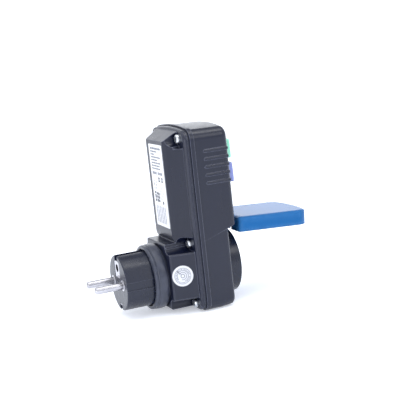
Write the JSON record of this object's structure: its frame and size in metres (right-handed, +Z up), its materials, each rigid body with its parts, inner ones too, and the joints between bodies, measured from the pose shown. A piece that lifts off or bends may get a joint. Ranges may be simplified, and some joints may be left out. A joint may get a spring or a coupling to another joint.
{
  "type": "portable residual current device",
  "caption": "Plug-in residual current adapter: plug behind, covered socket in front, reset and test buttons above it.",
  "frame": {"origin": "middle of the flat foot under the front cover, midway between the sides", "axes": "+Z up, +Y towards the plug at the back, -Y towards the socket and the buttons, X across"},
  "size_m": [0.062, 0.1512, 0.1209],
  "materials": {
    "case": "fine-textured dark grey ABS",
    "plug": "moulded dark grey",
    "soft_black": "soft black",
    "seal_rubber": "black seal",
    "nickel": "nickel-plated",
    "spring_steel": "plain steel",
    "brass": "stamped brass",
    "lid_blue": "smooth blue",
    "seal_grey": "grey seal",
    "reset_green": "smooth green",
    "test_violet": "smooth blue-violet",
    "switch_black": "moulded",
    "board_green": "lacquered board",
    "core_tape": "wound and taped core",
    "relay_cream": "moulded",
    "sleeve_blue": "shrunk sleeve",
    "lacquer_blue": "dipped lacquer",
    "wire_brown": "insulation",
    "wire_blue": "insulation",
    "wire_green": "green and yellow insulation",
    "screw_steel": "bright zinc",
    "label_white": "printed film"
  },
  "bodies": {
    "housing": {"front_cover": "case", "rear_cover": "case", "seam_gasket": "seal_rubber", "plug_body": "plug", "plug_collar": "soft_black", "pin_left": "nickel", "pin_right": "nickel", "plug_earth": "nickel", "socket_insert": "plug", "contact_left": "brass", "contact_right": "brass", "socket_earth": "spring_steel", "hinge_pin": "spring_steel", "reset_spring": "spring_steel", "test_spring": "spring_steel", "reset_switch": "switch_black", "test_switch": "switch_black", "circuit_board": "board_green", "current_transformer": "core_tape", "trip_relay": "relay_cream", "capacitor": "sleeve_blue", "varistor": "lacquer_blue", "line_wire": "wire_brown", "neutral_wire": "wire_blue", "earth_wire": "wire_green", "cover_screws": "screw_steel", "rating_label": "label_white", "round_label": "label_white"},
    "lid": {"lid": "lid_blue", "lid_seal": "seal_grey"},
    "reset": {"reset_button": "reset_green"},
    "test": {"test_button": "test_violet"}
  },
  "joints": [
    {"name": "lid_hinge", "type": "hinge", "parent": "housing", "child": "lid", "pos_m": [0, -0.0271, 0.0515], "axis": [1, 0, 0], "range_deg": [-8, 86.4]},
    {"name": "reset_push", "type": "slide", "parent": "housing", "child": "reset", "axis": [0, 1, 0], "range_m": [0, 0.0025], "stiffness_N_per_m": 900, "springref_m": -0.001, "deforming": ["reset_spring"]},
    {"name": "test_push", "type": "slide", "parent": "housing", "child": "test", "axis": [0, 1, 0], "range_m": [0, 0.0025], "stiffness_N_per_m": 900, "springref_m": -0.001, "deforming": ["test_spring"]}
  ]
}
